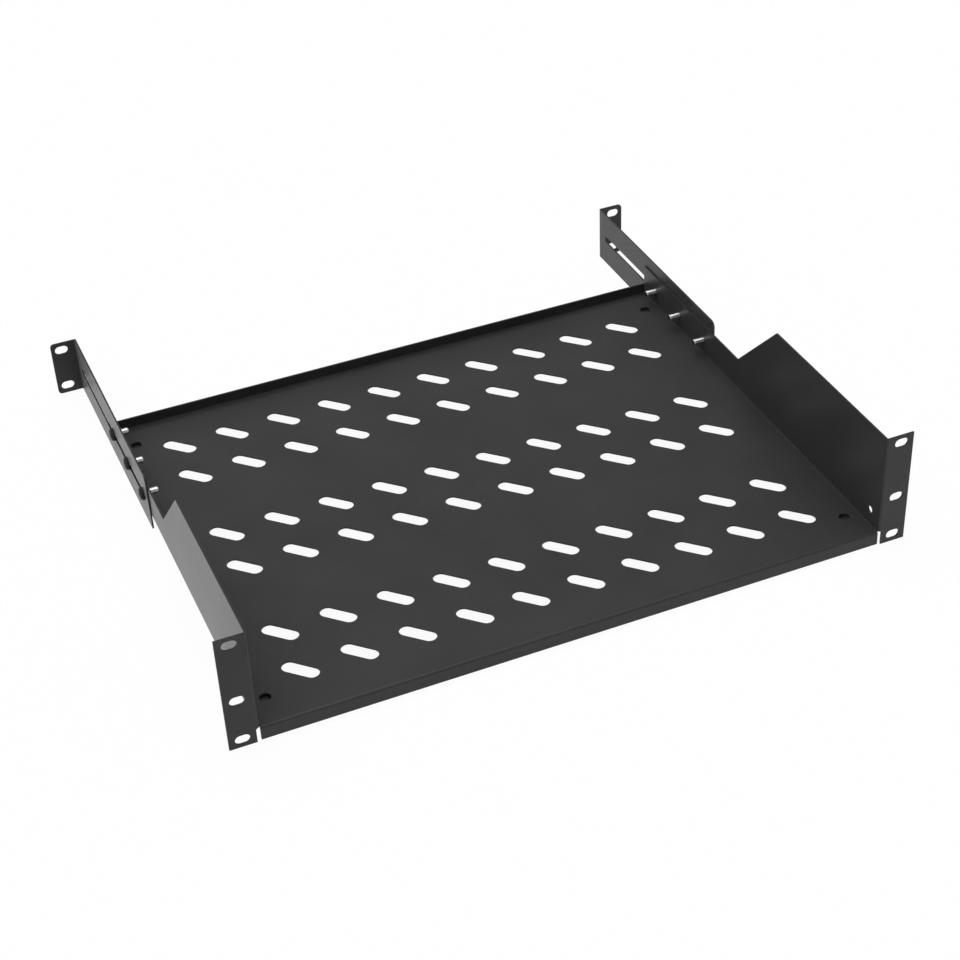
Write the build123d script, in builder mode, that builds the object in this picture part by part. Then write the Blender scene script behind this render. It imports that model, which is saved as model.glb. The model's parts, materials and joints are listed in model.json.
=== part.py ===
"""A 2U shelf for a 19 inch rack: a folded, perforated tray held by its front
ears, with two slotted brackets that slide along its sides to reach the rear
rails.

Frame: the origin is at the centre of the rectangle of outer rack slots, on the
back face of the front ears. X runs across the rack, +Y runs to the rear, +Z
is up. Sizes are in millimetres.
"""

import os

from build123d import *

# Sheet steel and its folds
sheet = 1.2  # thickness of the steel
bend_in = 0.5  # inside radius of every fold
bend_mid = bend_in + sheet / 2
bend_out = bend_in + sheet

# Rack slots and front ears, two rack units high
slot_span = 465.1  # between the two columns of rack slots
slot_to_edge = 9.2  # column of slots to the outer edge of the ear
row_span = 76.2  # lowest to highest slot
row_low_step = 31.75  # lowest to middle slot
row_to_edge = 5.95  # outer slots to the top and bottom of the ear
rack_slot_len = 10.0
rack_slot_w = 6.8

# Tray
slot_to_wall = 10.3  # column of slots to the outside of the wall
tray_depth = 351.4  # front face of the ears to the rear lip
panel_rise = 11.0  # top of the panel above the bottom of the ears
front_lip_rise = 0.9  # bottom of the front lip above the bottom of the ears
rear_lip_h = 8.3  # rear lip above the panel
wall_top_len = 145.5  # full height part of the side walls, a 45 degree slope behind it
wall_rear_h = 24.0  # low rear part of the side walls, above the panel

# Corner reliefs, cut so that the folds do not tear
relief_w = 2.7
relief_depth = 2.4
relief_rise = 0.1  # top of the relief above the panel
lip_clear = 0.3  # front lip to the plane of the wall
rear_relief = 0.3  # rear lip to the wall
rear_relief_depth = 3.0

# Vent slots, cut on the slant
vent_len = 26.3
vent_w = 10.1
vent_angle = -45.0
vent_columns = 10
vent_rows = 2
vent_groups = 3
vent_side = 41.45  # outer columns to the outside of the walls
vent_row_pitch = 40.15
vent_first = 39.9  # first row behind the front face
vent_last = 40.55  # last row in front of the rear lip

# Stamped round recesses near the corners
dimple_d = 8.0
dimple_depth = 3.0
dimple_skin = 1.0
dimple_inset = 24.8  # from the front face and from the rear lip
dimple_side = 12.8  # from the outside of the wall

# Earthing hole near the front of each wall
earth_d = 5.3
earth_y = 12.3
earth_rise = 22.3

# Rear brackets, one rack unit high
bracket_row_step = 31.75
bracket_row_to_edge = 6.35  # slots to the top and bottom of the bracket
bracket_reach = 19.0  # outside of the arm to the tip of the ear
bracket_slot_reach = 11.0  # outside of the arm to the column of slots
bracket_slot_len = 177.3
bracket_slot_w = 5.4
bracket_front_margin = 10.1  # front end of the bracket to its slot
bracket_rear_margin = 11.5  # slot to the back of the rear ear
bracket_nose_r = 5.0
bracket_corner_r = 3.0

# Screws that clamp the brackets
screw_count = 3
screw_pitch = 40.0
screw_last = 20.2  # last screw in front of the back of the rear lip
screw_d = 5.0
screw_reach = 8.5  # shank past the inside of the wall
screw_tip = 0.6  # chamfer at the end of the shank
screw_clear = 0.05  # shank to its hole, at the radius
screw_end_gap = 0.5  # shank to the end of the slot
head_d = 9.5
head_h = 2.7
head_edge = 0.9  # chamfer round the head

# Planes and heights that follow from the sizes
ear_h = row_span + 2 * row_to_edge
ear_span = slot_span + 2 * slot_to_edge
tray_w = slot_span - 2 * slot_to_wall
ear_bottom = -ear_h / 2
ear_top = ear_h / 2
front = -sheet
rear = front + tray_depth
panel_top = ear_bottom + panel_rise
panel_under = panel_top - sheet
panel_mid = panel_top - sheet / 2
wall_out = tray_w / 2
wall_in = wall_out - sheet
wall_mid = wall_out - sheet / 2
wall_low = panel_top + wall_rear_h
wall_slope_end = front + wall_top_len + ear_top - wall_low
row_low = -row_span / 2
row_middle = row_low + row_low_step
row_high = row_span / 2
relief_r = relief_w / 2
relief_in = wall_in - lip_clear
relief_out = relief_in + relief_w
relief_top = panel_top + relief_rise
relief_end = front + relief_depth

vent_pitch = (tray_w - 2 * vent_side) / (vent_columns - 1)
vent_group_depth = (vent_rows - 1) * vent_row_pitch
vent_depth = tray_depth - vent_first - vent_last
vent_group_pitch = (vent_depth - vent_group_depth) / (vent_groups - 1)

screw_ys = [rear - screw_last - n * screw_pitch for n in reversed(range(screw_count))]
screw_len = screw_reach + 2 * sheet
bracket_h = bracket_row_step + 2 * bracket_row_to_edge
bracket_mid_z = ear_bottom + bracket_h / 2
bracket_out = wall_out + sheet
bracket_mid = wall_out + sheet / 2
bracket_tip = bracket_out + bracket_reach
bracket_slot_x = bracket_out + bracket_slot_reach
bracket_slot_front = screw_ys[0] - screw_d / 2 - screw_end_gap
bracket_front = bracket_slot_front - bracket_front_margin
bracket_rear = bracket_slot_front + bracket_slot_len + bracket_rear_margin


def make_tray():
    """The whole tray: one sheet, folded at both lips, both walls and both ears."""
    with BuildPart() as tray:
        # Ears and the front ends of the walls
        for side in (-1, 1):
            with BuildSketch(Plane.XY.offset(relief_top - relief_r)):
                with BuildLine():
                    FilletPolyline(
                        (side * wall_mid, relief_end),
                        (side * wall_mid, front + sheet / 2),
                        (side * ear_span / 2, front + sheet / 2),
                        radius=bend_mid,
                    )
                trace(line_width=sheet)
            extrude(amount=ear_top - relief_top + relief_r)

        # Lower ends of the ears, free of the tray
        with BuildSketch(Plane.XZ.offset(-front)) as ear_feet:
            for side in (-1, 1):
                with Locations((side * (relief_out + ear_span / 2) / 2, ear_bottom)):
                    Rectangle(
                        ear_span / 2 - relief_out,
                        relief_top - relief_r - ear_bottom,
                        align=(Align.CENTER, Align.MIN),
                    )
        extrude(amount=-sheet)

        # Rounded tops of the front reliefs
        with BuildSketch(Plane.XZ.offset(-front)):
            with Locations(
                (-relief_in - relief_r, relief_top - relief_r),
                (relief_in + relief_r, relief_top - relief_r),
            ):
                Circle(relief_r)
        extrude(amount=-relief_depth, mode=Mode.SUBTRACT)

        # Panel and walls
        with BuildSketch(Plane.XZ.offset(-relief_end)):
            with BuildLine():
                FilletPolyline(
                    (-wall_mid, ear_top),
                    (-wall_mid, panel_mid),
                    (wall_mid, panel_mid),
                    (wall_mid, ear_top),
                    radius=bend_mid,
                )
            trace(line_width=sheet)
        extrude(amount=-(rear - relief_end))

        # Sloping tops of the walls
        with BuildSketch(Plane.YZ):
            with BuildLine():
                Polyline(
                    (front + wall_top_len, ear_top),
                    (wall_slope_end, wall_low),
                    (rear + sheet, wall_low),
                    (rear + sheet, ear_top + sheet),
                    (front + wall_top_len, ear_top + sheet),
                    close=True,
                )
            make_face()
        extrude(amount=tray_w, both=True, mode=Mode.SUBTRACT)

        # Rear corner reliefs
        with BuildSketch(Plane.XY.offset(panel_under)):
            with Locations((0, rear)):
                Rectangle(2 * wall_in, rear_relief_depth, align=(Align.CENTER, Align.MAX))
        extrude(amount=bend_out, mode=Mode.SUBTRACT)

        # Rear lip, folded up
        with BuildSketch(Plane.YZ.offset(-(wall_in - rear_relief))):
            with BuildLine():
                FilletPolyline(
                    (rear - rear_relief_depth, panel_mid),
                    (rear - sheet / 2, panel_mid),
                    (rear - sheet / 2, panel_top + rear_lip_h),
                    radius=bend_mid,
                )
            trace(line_width=sheet)
        extrude(amount=2 * (wall_in - rear_relief))

        # Front lip, folded down in line with the ears
        with BuildSketch(Plane.YZ.offset(-relief_in)):
            with BuildLine():
                FilletPolyline(
                    (relief_end, panel_mid),
                    (front + sheet / 2, panel_mid),
                    (front + sheet / 2, ear_bottom + front_lip_rise),
                    radius=bend_mid,
                )
            trace(line_width=sheet)
        extrude(amount=2 * relief_in)

        # Vent slots
        group_mid = front + vent_first + vent_group_depth / 2
        with BuildSketch(Plane.XY.offset(panel_top)):
            for group in range(vent_groups):
                with Locations((0, group_mid + group * vent_group_pitch)):
                    with GridLocations(vent_pitch, vent_row_pitch, vent_columns, vent_rows):
                        SlotOverall(vent_len, vent_w, rotation=vent_angle)
        extrude(amount=-sheet, mode=Mode.SUBTRACT)

        # Stamped recesses
        dimple_x = wall_out - dimple_side
        dimple_spots = [
            (sx * dimple_x, y)
            for sx in (-1, 1)
            for y in (front + dimple_inset, rear - dimple_inset)
        ]
        with BuildSketch(Plane.XY.offset(panel_under)):
            with Locations(*dimple_spots):
                Circle(dimple_d / 2 + dimple_skin)
        extrude(amount=-(dimple_depth + dimple_skin - sheet))
        with BuildSketch(Plane.XY.offset(panel_top)):
            with Locations(*dimple_spots):
                Circle(dimple_d / 2)
        extrude(amount=-dimple_depth, mode=Mode.SUBTRACT)

        # Rack slots in the ears
        with BuildSketch(Plane.XZ.offset(-front)):
            for row in (row_low, row_middle, row_high):
                with Locations((-slot_span / 2, row), (slot_span / 2, row)):
                    SlotOverall(rack_slot_len, rack_slot_w)
        extrude(amount=-sheet, mode=Mode.SUBTRACT)

        # Earthing holes and threaded holes in the walls
        with BuildSketch(Plane.YZ):
            with Locations((front + earth_y, ear_bottom + earth_rise)):
                Circle(earth_d / 2)
            with Locations(*[(y, bracket_mid_z) for y in screw_ys]):
                Circle(screw_d / 2 + screw_clear)
        extrude(amount=wall_out + sheet, both=True, mode=Mode.SUBTRACT)
    return tray


def make_bracket(side):
    """A slotted strip along the outside of a wall, folded outward into an ear."""
    with BuildPart() as bracket:
        with BuildSketch(Plane.XY.offset(ear_bottom)):
            with BuildLine():
                FilletPolyline(
                    (side * bracket_mid, bracket_front),
                    (side * bracket_mid, bracket_rear - sheet / 2),
                    (side * bracket_tip, bracket_rear - sheet / 2),
                    radius=bend_mid,
                )
            trace(line_width=sheet)
        extrude(amount=bracket_h)

        # Rounded nose and ear corners
        nose = bracket.edges().filter_by(Axis.X).group_by(Axis.Y)[0].sort_by(Axis.Z)[-1]
        fillet(nose, radius=bracket_nose_r)
        tips = bracket.edges().filter_by(Axis.Y).sort_by(Axis.X)
        fillet(tips[-2:] if side > 0 else tips[:2], radius=bracket_corner_r)

        # Long slot for the screws
        with BuildSketch(Plane.YZ):
            with Locations((bracket_slot_front + bracket_slot_len / 2, bracket_mid_z)):
                SlotOverall(bracket_slot_len, bracket_slot_w)
        extrude(amount=side * (bracket_out + sheet), mode=Mode.SUBTRACT)

        # Rack slots in the ear
        with BuildSketch(Plane.XZ.offset(-bracket_rear)):
            with Locations(
                (side * bracket_slot_x, bracket_mid_z - bracket_row_step / 2),
                (side * bracket_slot_x, bracket_mid_z + bracket_row_step / 2),
            ):
                SlotOverall(rack_slot_len, rack_slot_w)
        extrude(amount=sheet, mode=Mode.SUBTRACT)
    return bracket


def make_screw(side, y):
    """A low pan head screw whose head clamps the bracket against the wall."""
    seat = Plane(
        origin=(side * bracket_out, y, bracket_mid_z),
        x_dir=(0, 1, 0),
        z_dir=(side, 0, 0),
    )
    with BuildPart() as screw:
        with BuildSketch(seat):
            Circle(head_d / 2)
        extrude(amount=head_h)
        rim = screw.edges().sort_by(Axis.X, reverse=side < 0)[-1]
        chamfer(rim, length=head_edge)
        with BuildSketch(seat):
            Circle(screw_d / 2)
        extrude(amount=-screw_len)
        tip = screw.edges().sort_by(Axis.X, reverse=side < 0)[0]
        chamfer(tip, length=screw_tip)
    return screw


os.makedirs("parts", exist_ok=True)

shelf_tray = make_tray()
shelf_tray.part.label = "shelf_tray"
export_step(shelf_tray.part, "parts/shelf_tray.step")

for side_name, side in (("left", -1), ("right", 1)):
    bracket = make_bracket(side)
    bracket.part.label = f"rear_bracket_{side_name}"
    export_step(bracket.part, f"parts/rear_bracket_{side_name}.step")
    for number, screw_y in enumerate(screw_ys, start=1):
        screw = make_screw(side, screw_y)
        screw.part.label = f"bracket_screw_{side_name}_{number}"
        export_step(screw.part, f"parts/bracket_screw_{side_name}_{number}.step")
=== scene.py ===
"""Look of the rack shelf: powder coated steel, detailed screws, pale floor, soft light, camera."""
import json
import math

import bmesh
import bpy
from mathutils import Matrix, Vector

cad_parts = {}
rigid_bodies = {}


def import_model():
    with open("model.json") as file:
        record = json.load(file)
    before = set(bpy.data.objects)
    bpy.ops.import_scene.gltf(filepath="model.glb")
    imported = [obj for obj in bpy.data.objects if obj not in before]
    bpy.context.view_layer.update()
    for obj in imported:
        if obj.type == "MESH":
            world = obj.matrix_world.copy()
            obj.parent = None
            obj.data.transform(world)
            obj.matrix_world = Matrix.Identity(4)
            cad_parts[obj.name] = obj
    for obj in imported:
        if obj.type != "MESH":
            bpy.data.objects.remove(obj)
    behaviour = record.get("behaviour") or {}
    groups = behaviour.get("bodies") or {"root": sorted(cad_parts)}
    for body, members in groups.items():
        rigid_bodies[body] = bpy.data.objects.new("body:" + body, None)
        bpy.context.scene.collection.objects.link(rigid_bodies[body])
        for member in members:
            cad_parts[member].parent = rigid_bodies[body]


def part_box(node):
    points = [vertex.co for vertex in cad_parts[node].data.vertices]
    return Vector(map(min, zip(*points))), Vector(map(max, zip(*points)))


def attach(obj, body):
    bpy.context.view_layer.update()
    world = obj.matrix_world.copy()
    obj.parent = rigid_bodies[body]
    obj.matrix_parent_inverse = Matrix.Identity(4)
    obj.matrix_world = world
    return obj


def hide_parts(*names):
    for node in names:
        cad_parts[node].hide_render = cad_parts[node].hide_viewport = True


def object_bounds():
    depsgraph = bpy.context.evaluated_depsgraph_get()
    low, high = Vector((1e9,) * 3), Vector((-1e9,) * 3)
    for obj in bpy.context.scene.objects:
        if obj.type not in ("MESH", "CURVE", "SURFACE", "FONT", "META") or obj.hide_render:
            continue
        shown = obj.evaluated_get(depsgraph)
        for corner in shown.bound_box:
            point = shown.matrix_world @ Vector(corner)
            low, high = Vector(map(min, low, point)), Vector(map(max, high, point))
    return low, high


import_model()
cad_box = [list(map(float, corner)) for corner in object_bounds()]

MM = 0.001

# Material helpers

NOISE_MIDDLE = (0.25, 0.75)
TONES_AT = (0.3, 0.7)


def new_material(name):
    material = bpy.data.materials.new(name)
    material.use_nodes = True
    tree = material.node_tree
    tree.nodes.clear()
    shader = tree.nodes.new("ShaderNodeBsdfPrincipled")
    output = tree.nodes.new("ShaderNodeOutputMaterial")
    tree.links.new(shader.outputs["BSDF"], output.inputs["Surface"])
    return material, tree, shader


def object_coords(tree):
    return tree.nodes.new("ShaderNodeTexCoord").outputs["Object"]


def noise(tree, coords, scale, detail=2.0, roughness=0.5):
    node = tree.nodes.new("ShaderNodeTexNoise")
    node.inputs["Scale"].default_value = scale
    node.inputs["Detail"].default_value = detail
    node.inputs["Roughness"].default_value = roughness
    tree.links.new(coords, node.inputs["Vector"])
    return node.outputs["Fac"]


def map_range(tree, value, source, target):
    """Map a value from the source range to the target range, held at its ends."""
    node = tree.nodes.new("ShaderNodeMapRange")
    node.inputs["From Min"].default_value = source[0]
    node.inputs["From Max"].default_value = source[1]
    node.inputs["To Min"].default_value = target[0]
    node.inputs["To Max"].default_value = target[1]
    tree.links.new(value, node.inputs["Value"])
    return node.outputs["Result"]


def math_node(tree, operation, first, second):
    """A Math node on two inputs, the second of which may be a number."""
    node = tree.nodes.new("ShaderNodeMath")
    node.operation = operation
    tree.links.new(first, node.inputs[0])
    if isinstance(second, float):
        node.inputs[1].default_value = second
    else:
        tree.links.new(second, node.inputs[1])
    return node.outputs[0]


def two_tones(tree, value, dark, light):
    """Colour that goes from dark to light over the middle of a noise's values."""
    node = tree.nodes.new("ShaderNodeValToRGB")
    first, last = node.color_ramp.elements
    first.position = TONES_AT[0]
    first.color = (*dark, 1.0)
    last.position = TONES_AT[1]
    last.color = (*light, 1.0)
    tree.links.new(value, node.inputs["Fac"])
    return node.outputs["Color"]


def edge_normal(tree, radius):
    """Normals that round the cut edges of the sheet in the shading."""
    bevel = tree.nodes.new("ShaderNodeBevel")
    bevel.samples = 4
    bevel.inputs["Radius"].default_value = radius
    return bevel.outputs["Normal"]


def bump(tree, height, strength, distance, normal=None):
    node = tree.nodes.new("ShaderNodeBump")
    node.inputs["Strength"].default_value = strength
    node.inputs["Distance"].default_value = distance
    tree.links.new(height, node.inputs["Height"])
    if normal is not None:
        tree.links.new(normal, node.inputs["Normal"])
    return node.outputs["Normal"]


# Materials


def powder_coat(name):
    """Semi-matt black powder coat: fine grain, a little orange peel, rounded over cut edges."""
    material, tree, shader = new_material(name)
    coords = object_coords(tree)
    cloud = noise(tree, coords, scale=22.0, detail=3.0)
    grain = noise(tree, coords, scale=1100.0)
    peel = noise(tree, coords, scale=380.0)
    rub = noise(tree, coords, scale=9.0, detail=4.0, roughness=0.6)
    colour = two_tones(tree, cloud, dark=(0.0265, 0.0265, 0.0265), light=(0.0315, 0.0315, 0.0315))
    tree.links.new(colour, shader.inputs["Base Color"])
    fine = map_range(tree, grain, source=NOISE_MIDDLE, target=(0.34, 0.42))
    broad = map_range(tree, rub, source=TONES_AT, target=(-0.02, 0.03))
    tree.links.new(math_node(tree, "ADD", fine, broad), shader.inputs["Roughness"])
    shader.inputs["IOR"].default_value = 1.33
    shader.inputs["Sheen Weight"].default_value = 0.2
    shader.inputs["Sheen Roughness"].default_value = 0.3
    normal = edge_normal(tree, radius=0.35 * MM)
    normal = bump(tree, peel, strength=0.08, distance=0.3 * MM, normal=normal)
    normal = bump(tree, grain, strength=0.10, distance=0.1 * MM, normal=normal)
    tree.links.new(normal, shader.inputs["Normal"])
    return material


def dark_head_and_tip_shade_material(name):
    """Dark finish of the screw heads; on the ends of the shanks the same dark colour is painted shade.
    """
    material, tree, shader = new_material(name)
    coords = object_coords(tree)
    stain = noise(tree, coords, scale=300.0, detail=3.0)
    grain = noise(tree, coords, scale=1800.0)
    colour = two_tones(tree, stain, dark=(0.010, 0.010, 0.011), light=(0.018, 0.018, 0.019))
    tree.links.new(colour, shader.inputs["Base Color"])
    rough = map_range(tree, grain, source=NOISE_MIDDLE, target=(0.55, 0.68))
    tree.links.new(rough, shader.inputs["Roughness"])
    shader.inputs["IOR"].default_value = 1.3
    normal = bump(tree, grain, strength=0.10, distance=0.05 * MM)
    tree.links.new(normal, shader.inputs["Normal"])
    return material


def zinc_plate(name):
    """Bright zinc on the threads, with faint clouding."""
    material, tree, shader = new_material(name)
    coords = object_coords(tree)
    cloud = noise(tree, coords, scale=260.0, detail=3.0)
    grain = noise(tree, coords, scale=2200.0)
    colour = two_tones(tree, cloud, dark=(0.62, 0.62, 0.63), light=(0.72, 0.72, 0.73))
    tree.links.new(colour, shader.inputs["Base Color"])
    rough = map_range(tree, grain, source=NOISE_MIDDLE, target=(0.20, 0.32))
    tree.links.new(rough, shader.inputs["Roughness"])
    shader.inputs["Metallic"].default_value = 1.0
    normal = bump(tree, grain, strength=0.08, distance=0.03 * MM)
    tree.links.new(normal, shader.inputs["Normal"])
    return material


coat = powder_coat("black_powder_coat")
# Dark head colour, also used as painted shade on the flat ends of the shanks.
head_and_tip_shade = dark_head_and_tip_shade_material("dark_head_and_painted_tip_shade")
thread_finish = zinc_plate("zinc_thread")

for obj in bpy.data.objects:
    if obj.type == "MESH" and not obj.name.startswith("bracket_screw"):
        for slot in obj.material_slots:
            slot.material = coat
        if not obj.material_slots:
            obj.data.materials.append(coat)

# Screws: pan head with a cross recess, and a threaded shank

SCREWS_A_SIDE = 3

SHANK_LEN = 10.9 * MM
SHANK_R = 2.5 * MM
TIP_LEN = 0.8 * MM
TIP_TAPER = 0.6 * MM
THREAD_PITCH = 0.8 * MM
THREAD_DEPTH = 0.08 * MM
CREST_FLAT = 0.15
RINGS_PER_TURN = 8

HEAD_R = 4.75 * MM
HEAD_H = 2.7 * MM
HEAD_EDGE = 0.15 * MM
HEAD_RIM = 0.7 * MM
HEAD_FLAT_R = 2.9 * MM
DOME_STEPS = 8
WELD = 0.001 * MM

CROSS_DEPTH = 1.5 * MM
CROSS_MOUTH = (2.3 * MM, 0.55 * MM)
CROSS_BOTTOM = (1.0 * MM, 0.4 * MM)

SIDES = 40
HEAD_AND_TIP_SHADE = 0
THREAD = 1


def ring(bm, radius_at, height):
    """One circle of vertices; radius_at gives the radius at a fraction of the turn."""
    loop = []
    for k in range(SIDES):
        angle = 2 * math.pi * k / SIDES
        radius = radius_at(k / SIDES)
        loop.append(bm.verts.new((radius * math.cos(angle), radius * math.sin(angle), height)))
    return loop


def rings_of(bm, profile):
    return [ring(bm, lambda _, r=radius: r, height) for radius, height in profile]


def bridge(bm, low, high, index):
    """A band of smooth faces between two rings."""
    for k in range(SIDES):
        n = (k + 1) % SIDES
        face = bm.faces.new((low[k], low[n], high[n], high[k]))
        face.material_index = index
        face.smooth = True


def thread_radius(height):
    """Radius round the turn at this height: a shallow helix that fades out at the tip."""
    full = min(1.0, max(0.0, (height + SHANK_LEN) / TIP_LEN))
    crest = SHANK_R - (1 - full) * TIP_TAPER

    def radius_at(fraction):
        phase = (height / THREAD_PITCH - fraction) % 1.0
        dip = 1 - abs(2 * phase - 1)
        return crest - THREAD_DEPTH * max(0.0, (1 + CREST_FLAT) * dip - CREST_FLAT) * full

    return radius_at


def add_shank(bm):
    steps = int(SHANK_LEN / THREAD_PITCH * RINGS_PER_TURN)
    shank = []
    for n in range(steps + 1):
        height = -SHANK_LEN + SHANK_LEN * n / steps
        shank.append(ring(bm, thread_radius(height), height))
    # The flat end of the shank takes the dark head colour as painted shade.
    tip = bm.faces.new(list(reversed(shank[0])))
    tip.material_index = HEAD_AND_TIP_SHADE
    for low, high in zip(shank, shank[1:]):
        bridge(bm, low, high, THREAD)


def add_head(bm):
    """Turn the head from its profile and return the ring round its flat top."""
    profile = [
        (SHANK_R, 0.0),
        (HEAD_R - HEAD_EDGE, 0.0),
        (HEAD_R, HEAD_EDGE),
        (HEAD_R, HEAD_RIM),
    ]
    for n in range(1, DOME_STEPS + 1):
        angle = n / DOME_STEPS * math.pi / 2
        radius = HEAD_FLAT_R + (HEAD_R - HEAD_FLAT_R) * math.cos(angle)
        profile.append((radius, HEAD_RIM + (HEAD_H - HEAD_RIM) * math.sin(angle)))
    rings = rings_of(bm, profile)
    for low, high in zip(rings, rings[1:]):
        bridge(bm, low, high, HEAD_AND_TIP_SHADE)
    return rings[-1]


def cross_verts(bm, half_len, half_w, height):
    """Corners of a cross with four arms, in order round it."""
    verts = []
    for quarter in range(4):
        turn = quarter * math.pi / 2
        for u, v in ((half_len, -half_w), (half_len, half_w), (half_w, half_w)):
            x = u * math.cos(turn) - v * math.sin(turn)
            y = u * math.sin(turn) + v * math.cos(turn)
            verts.append(bm.verts.new((x, y, height)))
    return verts


def edges_of(bm, loop):
    return [bm.edges.get((a, b)) or bm.edges.new((a, b)) for a, b in zip(loop, loop[1:] + loop[:1])]


def add_cross_recess(bm, rim):
    """Fill the flat top round the mouth of the cross, and sink the cross into the head."""
    mouth = cross_verts(bm, *CROSS_MOUTH, HEAD_H)
    bottom = cross_verts(bm, *CROSS_BOTTOM, HEAD_H - CROSS_DEPTH)
    fill = bmesh.ops.triangle_fill(
        bm, edges=edges_of(bm, rim) + edges_of(bm, mouth), use_beauty=True, normal=(0, 0, 1)
    )
    for item in fill["geom"]:
        if isinstance(item, bmesh.types.BMFace):
            item.material_index = HEAD_AND_TIP_SHADE
    for k in range(len(mouth)):
        n = (k + 1) % len(mouth)
        wall = bm.faces.new((mouth[n], mouth[k], bottom[k], bottom[n]))
        wall.material_index = HEAD_AND_TIP_SHADE
    bm.faces.new(bottom).material_index = HEAD_AND_TIP_SHADE


def seat_matrix(node, side):
    """From the screw's own axis to the node's, with the top of the head at the outer end of its box."""
    low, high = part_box(node)
    outer_x = high.x if side > 0 else low.x
    seat = (low + high) / 2
    seat.x = outer_x - side * HEAD_H
    turn = Matrix(((0.0, 0.0, side), (side, 0.0, 0.0), (0.0, 1.0, 0.0)))
    return Matrix.Translation(seat) @ turn.to_4x4()


def link_mesh(name, bm, materials):
    """Put a finished mesh into the scene as an object at the origin."""
    mesh = bpy.data.meshes.new(name)
    bm.to_mesh(mesh)
    bm.free()
    for material in materials:
        mesh.materials.append(material)
    obj = bpy.data.objects.new(name, mesh)
    bpy.context.scene.collection.objects.link(obj)
    return obj


def make_screw(node, side):
    bm = bmesh.new()
    add_shank(bm)
    rim = add_head(bm)
    add_cross_recess(bm, rim)
    bmesh.ops.remove_doubles(bm, verts=bm.verts, dist=WELD)
    bmesh.ops.recalc_face_normals(bm, faces=bm.faces)
    bm.transform(seat_matrix(node, side))
    return link_mesh(f"{node}_detail", bm, [head_and_tip_shade, thread_finish])


for side_name, side in (("left", -1), ("right", 1)):
    for number in range(1, SCREWS_A_SIDE + 1):
        node = f"bracket_screw_{side_name}_{number}"
        piece = make_screw(node, side)
        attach(piece, "tray")
        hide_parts(node)

# Floor: round, in metres, with a rim that curves up so that low views see no horizon

FLOOR_Z = cad_box[0][2]
FLOOR_R = 10.0
COVE_R = 3.0
COVE_TOP = 4.5
COVE_STEPS = 12
FLOOR_GREY = 0.85
WHITE_SHARE = 0.95


def white_floor():
    """White to camera, glossy and transmission rays, with a share left that takes the shadow."""
    material = bpy.data.materials.new("white_floor")
    material.use_nodes = True
    tree = material.node_tree
    tree.nodes.clear()
    output = tree.nodes.new("ShaderNodeOutputMaterial")
    diffuse = tree.nodes.new("ShaderNodeBsdfDiffuse")
    diffuse.inputs["Color"].default_value = (FLOOR_GREY, FLOOR_GREY, FLOOR_GREY, 1.0)
    glow = tree.nodes.new("ShaderNodeEmission")
    glow.inputs["Strength"].default_value = 1.0
    path = tree.nodes.new("ShaderNodeLightPath")
    seen = math_node(tree, "MAXIMUM", path.outputs["Is Camera Ray"], path.outputs["Is Glossy Ray"])
    seen = math_node(tree, "MAXIMUM", seen, path.outputs["Is Transmission Ray"])
    share = math_node(tree, "MULTIPLY", seen, WHITE_SHARE)
    mix = tree.nodes.new("ShaderNodeMixShader")
    tree.links.new(share, mix.inputs["Fac"])
    tree.links.new(diffuse.outputs[0], mix.inputs[1])
    tree.links.new(glow.outputs[0], mix.inputs[2])
    tree.links.new(mix.outputs[0], output.inputs["Surface"])
    return material


def make_floor():
    outline = [(FLOOR_R, 0.0)]
    for n in range(1, COVE_STEPS + 1):
        angle = n / COVE_STEPS * math.pi / 2
        outline.append((FLOOR_R + COVE_R * math.sin(angle), COVE_R * (1 - math.cos(angle))))
    outline.append((FLOOR_R + COVE_R, COVE_TOP))
    bm = bmesh.new()
    rings = rings_of(bm, [(radius, FLOOR_Z + height) for radius, height in outline])
    bm.faces.new(rings[0])
    for low, high in zip(rings, rings[1:]):
        bridge(bm, high, low, 0)
    return link_mesh("floor", bm, [white_floor()])


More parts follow.
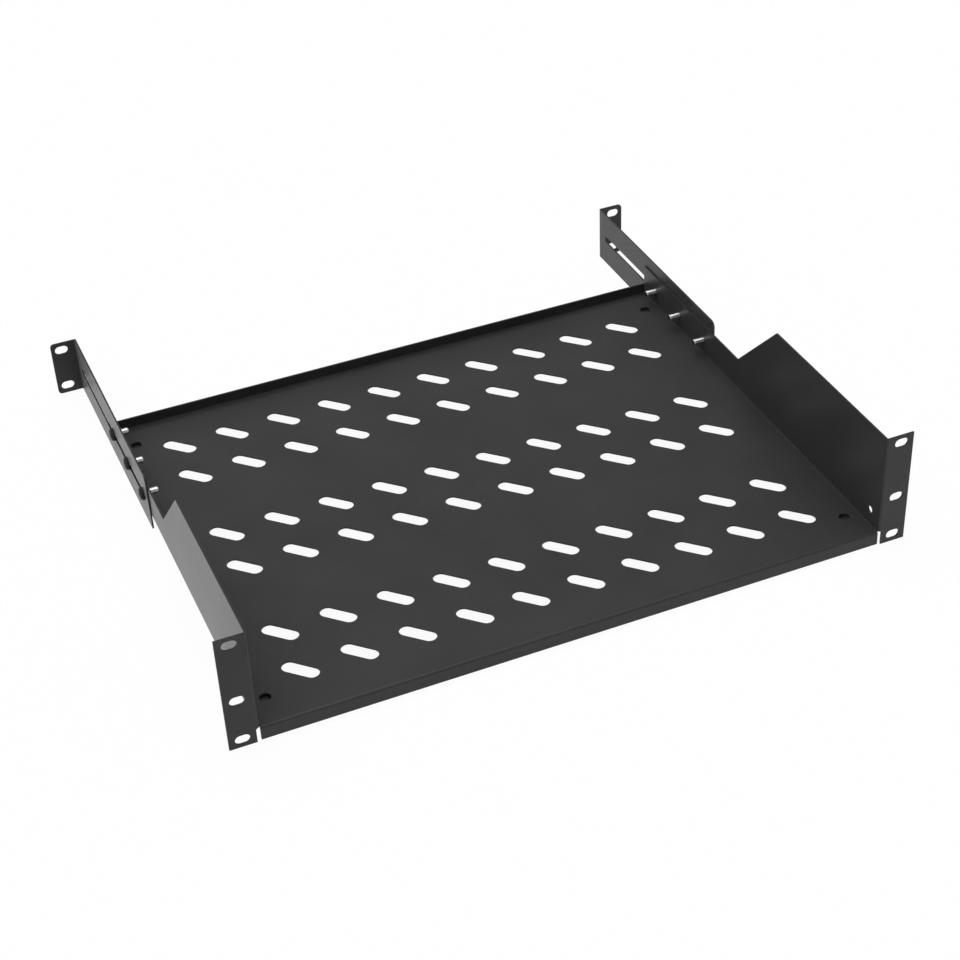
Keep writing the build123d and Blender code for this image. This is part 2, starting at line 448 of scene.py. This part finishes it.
floor = make_floor()

# Light: a soft white disc overhead, a little to the left and rear, in a dim sky

SKY_CENTRE = (-0.15, 0.15, 0.97)
DISC_COSINES = (0.75, 0.95)
SKY_LEVELS = (0.2, 3.4)


def make_sky():
    world = bpy.data.worlds.new("white_room")
    bpy.context.scene.world = world
    world.use_nodes = True
    tree = world.node_tree
    background = tree.nodes["Background"]
    background.inputs["Color"].default_value = (1.0, 1.0, 1.0, 1.0)
    direction = tree.nodes.new("ShaderNodeTexCoord").outputs["Generated"]
    facing = tree.nodes.new("ShaderNodeVectorMath")
    facing.operation = "DOT_PRODUCT"
    facing.inputs[1].default_value = Vector(SKY_CENTRE).normalized()
    tree.links.new(direction, facing.inputs[0])
    level = map_range(tree, facing.outputs["Value"], source=DISC_COSINES, target=SKY_LEVELS)
    tree.links.new(level, background.inputs["Strength"])


make_sky()

# Camera, as solved from the photograph. Names that end in PX are in its pixels

FRAME_PX = 960
SENSOR_WIDTH = 36.0
EYE = Vector((-422.0, -900.56, 821.55)) * MM
CLIP_START = 10.0 * MM
FOCAL_PX = 2018.61
CENTRE_PX = (498.0, 480.0)


def make_camera(right, down, forward):
    data = bpy.data.cameras.new("camera")
    data.sensor_width = SENSOR_WIDTH
    data.sensor_fit = "HORIZONTAL"
    data.lens = FOCAL_PX / FRAME_PX * SENSOR_WIDTH
    data.shift_x = (FRAME_PX / 2 - CENTRE_PX[0]) / FRAME_PX
    data.shift_y = (CENTRE_PX[1] - FRAME_PX / 2) / FRAME_PX
    data.clip_start = CLIP_START
    camera = bpy.data.objects.new("camera", data)
    bpy.context.scene.collection.objects.link(camera)
    turn = Matrix((right, [-v for v in down], [-v for v in forward])).transposed()
    camera.matrix_world = Matrix.Translation(EYE) @ turn.to_4x4()
    bpy.context.scene.camera = camera


make_camera(
    right=(0.915905, -0.399919, -0.034391),
    down=(-0.263654, -0.534792, -0.802798),
    forward=(0.302662, 0.744354, -0.595259),
)

bpy.context.scene.view_settings.view_transform = "Standard"
